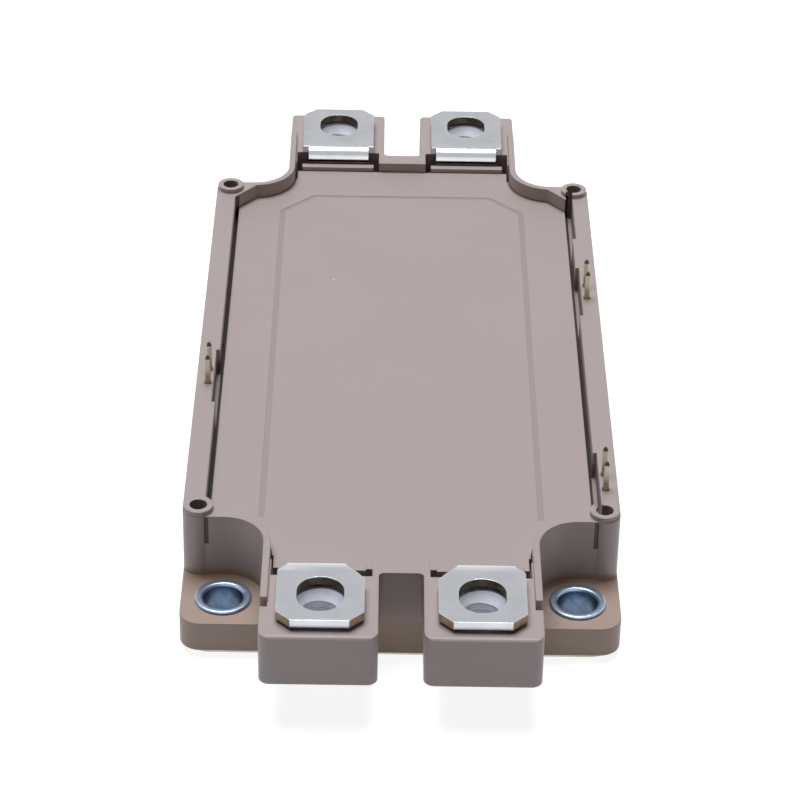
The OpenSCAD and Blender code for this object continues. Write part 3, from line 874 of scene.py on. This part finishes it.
@dataclass
class PowerTerminals:
    """Four strips, bent over the blocks' edges, with edges rounded by the punch and the plating."""

    edge: float = 0.14 * MM
    segments: int = 3
    thickness: float = 1.25 * MM
    hole_reach: float = 4.3 * MM
    hole_to_tip: float = 6.0 * MM
    neck_to_tip: float = 11.1 * MM
    leg_to_tip: float = 13.5 * MM
    # depth under the strip's top where the leg's painted shade starts
    shade_under_top: float = 1.95 * MM
    sag: float = 0.14  # drop for each unit of distance
    upright_below: float = 0.5  # size of a normal's Z on a cut face
    sideways_above: float = 0.3  # size of a normal's X on a side or a corner
    clearance: float = 0.01 * MM

    def let_sag(self, piece: bpy.types.Object, away: int, neck: float, shade_height: float) -> None:
        """Lets the neck slope gently before the bend, and cuts the leg where its painted shade starts.

        Each point between the cut across the neck and the leg, above the painted shade, sinks by the sag
        times its distance from the cut.

        Args:
            piece: The strip.
            away: 1 at the rear end, -1 at the front end.
            neck: Distance of the cut across the neck from the module's middle.
            shade_height: Height where the leg's painted shade starts.
        """
        mesh = piece.data
        work = bmesh.new()
        work.from_mesh(mesh)
        cuts = (
            ((0.0, 0.0, shade_height), (0.0, 0.0, 1.0)),
            ((0.0, away * neck, 0.0), (0.0, 1.0, 0.0)),
        )
        for place, normal in cuts:
            whole = work.verts[:] + work.edges[:] + work.faces[:]
            bmesh.ops.bisect_plane(work, geom=whole, plane_co=place, plane_no=normal)
        work.to_mesh(mesh)
        work.free()
        points = mesh_points(mesh)
        inside = np.clip(neck - points[:, 1] * away, 0, None)
        points[:, 2] -= self.sag * inside * (points[:, 2] > shade_height + self.clearance)
        move_points(mesh, points)

    def face_kind(self, face: bpy.types.MeshPolygon, hole: Vector, leg: float, shade_height: float) -> StripFace:
        """Tells a face's kind from its place and its direction.

        Args:
            face: The face.
            hole: Middle of the screw hole, at the upper face.
            leg: Distance from the module's middle within which the strip is its leg.
            shade_height: Height where the leg's painted shade starts.

        Returns:
            The kind, which is also the number of its material slot.
        """
        apart = face.center - hole
        on_cut = abs(face.normal.z) < self.upright_below and -apart.z < self.thickness
        if on_cut and apart.xy.length < self.hole_reach:
            return StripFace.SHEARED
        if on_cut and abs(face.normal.x) > self.sideways_above:
            return StripFace.WORN
        # the leg below that height gets the painted shade
        if face.center.z < shade_height and abs(face.center.y) < leg:
            return StripFace.STAINED
        return StripFace.PLATED

    def build(self) -> None:
        """Makes a rounded copy of each strip, with its own metal on each kind of face."""
        finishes = {
            StripFace.PLATED: TINNED_COPPER,
            StripFace.SHEARED: SHEARED_COPPER_AND_SHADE,
            StripFace.WORN: WORN_EDGE,
            StripFace.STAINED: SHADED_LEG,
        }
        metals = [finishes[kind].material() for kind in StripFace]
        for end, away in ENDS.items():
            for side in SIDES:
                node = f"terminal_{end}_{side}"
                low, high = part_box(node)
                tip = max(abs(low.y), abs(high.y))
                shade_height = high.z - self.shade_under_top
                hole = Vector(((low.x + high.x) / 2, away * (tip - self.hole_to_tip), high.z))
                piece = softened_copy(node, f"strip_{end}_{side}", self.edge, self.segments)
                self.let_sag(piece, away, tip - self.neck_to_tip, shade_height)
                for metal in metals:
                    piece.data.materials.append(metal)
                for face in piece.data.polygons:
                    face.material_index = self.face_kind(face, hole, tip - self.leg_to_tip, shade_height)
                log.info("%s: %d points", piece.name, len(piece.data.vertices))


@dataclass
class CaptiveNuts:
    """Hexagon nuts with a cut thread, loose in their pockets under the strips."""

    across_flats: float = 10.0 * MM
    under_strip: float = 1.9 * MM
    face_radius: float = 4.4 * MM
    crest_radius: float = 2.5 * MM
    mouth_radius: float = 3.8 * MM
    pitch: float = 1.0 * MM
    depth: float = 0.5 * MM
    cone_degrees: float = 30.0
    first_row: float = 0.02 * MM
    columns: int = 96
    thread_rows: int = 80

    def surface(self, centre: Vector, bottom: float, top: float) -> tuple[np.ndarray, np.ndarray]:
        """Works out one nut as a closed ring of rows.

        The radius of the outside is the hexagon's, apothem / cos(angle from the nearest
        flat's middle), cut by a flat cone near the top. The radius of the inside is the
        crest radius plus the thread's depth times a triangle wave of height / pitch
        - angle / full turn, which makes one helical groove. The mouth is a 45 degree cone
        that ends where it meets the thread.

        Args:
            centre: Middle of the nut; only X and Y are used.
            bottom: Height of the nut's underside.
            top: Height of its upper face.

        Returns:
            Points and faces.
        """
        turn = np.linspace(0, 2 * np.pi, self.columns, endpoint=False)
        sector = np.pi / 3
        from_flat = (turn % sector) - sector / 2
        hexagon = self.across_flats / 2 / np.cos(from_flat)
        slope = math.tan(math.radians(self.cone_degrees))
        cone_low = top - (hexagon - self.face_radius) * slope
        ones = np.ones_like(turn)
        radii = [hexagon, hexagon, self.face_radius * ones, self.mouth_radius * ones]
        heights = [bottom * ones, cone_low, top * ones, top * ones]
        height = np.linspace(top - self.first_row, bottom, self.thread_rows)[:, None]
        wave = (height / self.pitch - turn[None, :] / (2 * np.pi)) % 1.0
        thread = self.crest_radius + self.depth * np.abs(2 * wave - 1)
        mouth = self.mouth_radius - (top - height)
        inner = np.maximum(thread, mouth)
        radius = np.vstack([np.array(radii), inner])
        level = np.vstack([np.array(heights), np.broadcast_to(height, inner.shape)])
        x = centre.x + radius * np.cos(turn)
        y = centre.y + radius * np.sin(turn)
        points = np.stack([x, y, level], -1).reshape(-1, 3)
        return points, grid_faces(len(radius), self.columns, True, True)

    def build(self) -> None:
        """Makes the four nuts on the solids' places, tall enough to end just under the strips."""
        metal = BRIGHT_STEEL.material()
        for end in ENDS:
            for side in SIDES:
                node = f"nut_{end}_{side}"
                low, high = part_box(node)
                strip_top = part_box(f"terminal_{end}_{side}")[1].z
                points, faces = self.surface((low + high) / 2, low.z, strip_top - self.under_strip)
                piece = mesh_object(f"hex_nut_{end}_{side}", points, faces, smooth=False)
                dress(piece, metal)
                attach(piece, "root")
                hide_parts(node)
                log.info("%s: %d faces", piece.name, len(faces))


@dataclass
class Bushings:
    """Rolled steel bushings in the ears, with a collar on top and small dents in its rim."""

    bore: float = 2.8 * MM
    sleeve: float = 3.3 * MM
    collar: float = 4.0 * MM
    collar_height: float = 0.5 * MM
    plain_depth: float = 4.2 * MM
    # depth under the collar's top where the bore's painted shade starts
    shade_from: float = 0.8 * MM
    relief: float = 0.32 * MM
    dents: int = 11
    dent_depth: tuple[float, float] = (0.004 * MM, 0.018 * MM)
    dent_width: float = 0.06  # in radians
    dent_pull: float = 0.4  # inward move for each unit that the rim sinks
    seed: int = 5
    columns: int = 128
    rim_steps: int = 10

    def profile(self, low: float, top: float) -> tuple[np.ndarray, np.ndarray]:
        """Half section of a bushing, as rows of radius and height, from its foot inside up and out.

        The bore is plain down to one depth and a little wider below it. The mouth is a
        quarter circle as wide as the wall, and the collar's edge is a half circle as
        thick as the collar.

        Args:
            low: Height of the foot.
            top: Height of the collar's upper face.

        Returns:
            Radii and heights.
        """
        wall = self.sleeve - self.bore
        quarter = np.linspace(np.pi, np.pi / 2, self.rim_steps)
        half = np.linspace(np.pi / 2, -np.pi / 2, self.rim_steps)
        edge = self.collar_height / 2
        radius = np.concatenate(
            [
                [self.bore + self.relief, self.bore + self.relief, self.bore],
                self.sleeve + wall * np.cos(quarter),
                self.collar - edge + edge * np.cos(half),
                [self.sleeve, self.sleeve],
            ]
        )
        height = np.concatenate(
            [
                [low, top - self.plain_depth - self.relief, top - self.plain_depth],
                top - wall + wall * np.sin(quarter),
                top - edge + edge * np.sin(half),
                [top - self.collar_height, low],
            ]
        )
        return radius, height

    def dented_rim(self, rng: np.random.Generator, turn: np.ndarray) -> np.ndarray:
        """Works out how far a rim sinks: the sum of a few bell curves of the angle.

        Args:
            rng: Source of the dents' places and depths.
            turn: Angles round the rim.

        Returns:
            One depth for each angle.
        """
        middles = rng.uniform(0, 2 * np.pi, self.dents)
        depths = rng.uniform(*self.dent_depth, self.dents)
        apart = (turn[:, None] - middles + np.pi) % (2 * np.pi) - np.pi
        return (depths * np.exp(-((apart / self.dent_width) ** 2))).sum(1)

    def build(self) -> None:
        """Carries the profile round each mounting hole; the dents dip what lies high on the rim."""
        low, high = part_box("bushings")
        radius, height = self.profile(low.z, high.z)
        turn = np.linspace(0, 2 * np.pi, self.columns, endpoint=False)
        share = np.clip((height - (high.z - self.collar_height)) / self.collar_height, 0, 1)
        on_collar = radius[:, None] > self.sleeve
        ring = grid_faces(len(radius), self.columns, True, True)[:, ::-1]
        rng = np.random.default_rng(self.seed)
        all_points: list[np.ndarray] = []
        all_faces: list[np.ndarray] = []
        for cx in (low.x + self.collar, high.x - self.collar):
            for cy in (low.y + self.collar, high.y - self.collar):
                sink = share[:, None] * self.dented_rim(rng, turn)[None, :]
                r = radius[:, None] - self.dent_pull * sink * on_collar
                rows = [cx + r * np.cos(turn), cy + r * np.sin(turn), height[:, None] - sink]
                all_faces.append(ring + len(all_points) * len(radius) * self.columns)
                all_points.append(np.stack(rows, -1).reshape(-1, 3))
        piece = mesh_object("rolled_bushings", np.vstack(all_points), np.vstack(all_faces))
        dress(piece, ZINC_STEEL.material())
        # the bore's lower faces get painted shade, a darker copy of the plating
        piece.data.materials.append(SHADED_ZINC_BORE.material())
        for face in piece.data.polygons:
            face.material_index = int(face.center.z < high.z - self.shade_from)
        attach(piece, "root")
        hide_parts("bushings")
        log.info("%s: %d points", piece.name, len(piece.data.vertices))


@dataclass
class ControlPins:
    """Square wire pins that stand out of the rails in pairs."""

    pairs: tuple[str, ...] = ("left", "mid", "front")
    edge: float = 0.1 * MM
    segments: int = 2

    def build(self) -> None:
        """Makes a rounded copy of each pin."""
        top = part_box("pin_left_rear")[1].z
        metal = ContactWire(top).material()
        for pair in self.pairs:
            for place in ("rear", "front"):
                node = f"pin_{pair}_{place}"
                piece = softened_copy(node, f"contact_{pair}_{place}", self.edge, self.segments)
                dress(piece, metal)
                log.info("%s made", piece.name)


@dataclass
class PowerCircuit:
    """What the housing covers: substrates, chips, wires, sensor and filling."""

    def dress(self) -> None:
        """Gives each inner piece its own finish."""
        finishes = {
            "copper_under": BARE_COPPER,
            "tracks": BARE_COPPER,
            "ceramic": ALUMINA,
            "transistors": SILICON,
            "diodes": SILICON,
            "wires": BOND_WIRE,
        }
        made = {finish.name: finish.material() for finish in finishes.values()}
        for stem, finish in finishes.items():
            for place in PLACES:
                dress_node(f"{stem}_{place}", made[finish.name])
        dress_node("thermistor", SENSOR_GLAZE.material())
        dress_node("filling", SOFT_GEL.material())
        log.info("inner circuit dressed")


# ---------------------------------------------------------------------------
# Camera, floor and light
# ---------------------------------------------------------------------------


@dataclass(frozen=True)
class Camera:
    """A long lens in front of the module, looking down on it along its length."""

    place: tuple[float, float, float] = (-0.003724, -0.39765, 0.258989)
    down_degrees: float = 32.644
    yaw_degrees: float = -0.519
    roll_degrees: float = 1.130
    lens_mm: float = 135.57
    sensor_mm: float = 36.0
    nearest: float = 0.01
    farthest: float = 20.0

    def build(self) -> None:
        """Makes the camera and sets it as the scene's camera."""
        data = bpy.data.cameras.new("studio_camera")
        data.lens = self.lens_mm
        data.sensor_width = self.sensor_mm
        data.clip_start = self.nearest
        data.clip_end = self.farthest
        camera = bpy.data.objects.new("studio_camera", data)
        bpy.context.scene.collection.objects.link(camera)
        turned = (
            Matrix.Rotation(math.radians(self.yaw_degrees), 4, "Z")
            @ Matrix.Rotation(math.radians(90 - self.down_degrees), 4, "X")
            @ Matrix.Rotation(math.radians(self.roll_degrees), 4, "Z")
        )
        camera.matrix_world = Matrix.Translation(Vector(self.place)) @ turned
        bpy.context.scene.camera = camera
        log.info("camera placed")


@dataclass(frozen=True)
class SoftBox:
    """One rectangular lamp."""

    name: str
    place: tuple[float, float, float]
    aim: tuple[float, float, float]
    size: tuple[float, float]
    watts: float
    colour: str

    def build(self) -> None:
        """Makes the lamp and turns it to its aim."""
        data = bpy.data.lights.new(self.name, "AREA")
        data.shape = "RECTANGLE"
        data.size, data.size_y = self.size
        data.energy = self.watts
        data.color = linear(self.colour)[:3]
        lamp = bpy.data.objects.new(self.name, data)
        bpy.context.scene.collection.objects.link(lamp)
        away = Vector(self.aim) - Vector(self.place)
        turned = away.to_track_quat("-Z", "Y").to_matrix().to_4x4()
        lamp.matrix_world = Matrix.Translation(Vector(self.place)) @ turned


def plainly_seen(tree: bpy.types.NodeTree) -> tuple[bpy.types.Node, bpy.types.NodeSocket]:
    """Adds the test whether a ray comes from the eye or from a mirror image.

    Args:
        tree: Node tree of the floor or the world.

    Returns:
        The Light Path node, and the socket that is 1 for such a ray.
    """
    path = add_node(tree, "ShaderNodeLightPath")
    seen = add_node(
        tree,
        "ShaderNodeMath",
        {0: path.outputs["Is Camera Ray"], 1: path.outputs["Is Glossy Ray"]},
        operation="MAXIMUM",
    )
    return path, seen.outputs[0]


@dataclass
class Studio:
    """White floor, dim even surroundings and one soft lamp."""

    floor_half: float = 3.0
    floor_colour: str = "#a8a8a8"
    floor_glow: float = 0.88
    bounce_colour: str = "#dcdde0"
    surroundings: float = 0.04
    surroundings_colour: str = "#ffe8da"
    mirrored_high: float = 0.76
    mirrored_low: float = 1.5
    front_from_to: tuple[float, float] = (-0.7, -0.97)  # Y of a direction of length 1
    low_from_to: tuple[float, float] = (0.45, 0.15)  # Z of a direction of length 1
    lamp: SoftBox = SoftBox(
        "high_behind", (-0.3, 0.65, 3.05), (0.0, 0.0, 0.0), (2.2, 1.6), 114.0, "#eef3ff"
    )

    def floor(self) -> None:
        """Makes the floor, which shows white to the eye and to metal but throws back less light."""
        h = self.floor_half
        points = np.array([[-h, -h, 0.0], [h, -h, 0.0], [h, h, 0.0], [-h, h, 0.0]])
        floor = mesh_object("studio_floor", points, np.array([[0, 1, 2, 3]]), smooth=False)
        made, tree = new_material("white_paper_floor")
        _, seen = plainly_seen(tree)
        colour = add_node(
            tree,
            "ShaderNodeMix",
            {"Factor": seen, 6: linear(self.bounce_colour), 7: linear(self.floor_colour)},
            data_type="RGBA",
        )
        paper = add_node(tree, "ShaderNodeBsdfDiffuse", {"Color": colour.outputs[2]})
        glow = add_node(tree, "ShaderNodeEmission", {"Strength": self.floor_glow})
        lift = add_node(tree, "ShaderNodeAddShader", {0: paper.outputs[0], 1: glow.outputs[0]})
        both = add_node(tree, "ShaderNodeMixShader", {0: seen, 1: paper.outputs[0], 2: lift.outputs[0]})
        add_node(tree, "ShaderNodeOutputMaterial", {"Surface": both.outputs[0]})
        dress(floor, made)

    def world(self) -> None:
        """Sets even surroundings that show white where the eye meets them."""
        world = bpy.data.worlds.new("studio_surroundings")
        world.use_nodes = True
        tree = world.node_tree
        tree.nodes.clear()
        path, seen = plainly_seen(tree)
        # what metal mirrors is brighter low down and in front, where the white room lies
        toward = add_node(tree, "ShaderNodeTexCoord").outputs["Generated"]
        parts = add_node(tree, "ShaderNodeSeparateXYZ", {"Vector": toward})
        in_front, low_down = (
            add_node(
                tree,
                "ShaderNodeMapRange",
                {"Value": parts.outputs[axis], "From Min": start, "From Max": full},
                interpolation_type="SMOOTHSTEP",
            )
            for axis, (start, full) in (("Y", self.front_from_to), ("Z", self.low_from_to))
        )
        bright = add_node(
            tree, "ShaderNodeMath", {0: in_front.outputs[0], 1: low_down.outputs[0]}, operation="MAXIMUM"
        )
        room = add_node(
            tree,
            "ShaderNodeMapRange",
            {"Value": bright.outputs[0], "To Min": self.mirrored_high, "To Max": self.mirrored_low},
        )
        mirrored = add_node(
            tree,
            "ShaderNodeMix",
            {0: path.outputs["Is Glossy Ray"], 2: self.surroundings, 3: room.outputs[0]},
            data_type="FLOAT",
        )
        strength = add_node(
            tree,
            "ShaderNodeMix",
            {0: path.outputs["Is Camera Ray"], 2: mirrored.outputs[0], 3: 1.0},
            data_type="FLOAT",
        )
        tint = add_node(
            tree,
            "ShaderNodeMix",
            {"Factor": seen, 6: linear(self.surroundings_colour), 7: linear("#ffffff")},
            data_type="RGBA",
        )
        sky = add_node(
            tree, "ShaderNodeBackground", {"Color": tint.outputs[2], "Strength": strength.outputs[0]}
        )
        add_node(tree, "ShaderNodeOutputWorld", {"Surface": sky.outputs[0]})
        bpy.context.scene.world = world

    def build(self) -> None:
        """Makes floor, world and lamp."""
        self.floor()
        self.world()
        self.lamp.build()
        bpy.context.scene.view_settings.view_transform = "Standard"
        log.info("studio built")


def main() -> None:
    """Builds the camera, the module's pieces and the studio, in order."""
    logging.basicConfig(level=logging.INFO, format="%(name)s: %(message)s")
    Camera().build()
    Housing().build()
    BasePlate().dress()
    PowerTerminals().build()
    CaptiveNuts().build()
    Bushings().build()
    ControlPins().build()
    PowerCircuit().dress()
    Studio().build()


if __name__ == "__main__":
    main()
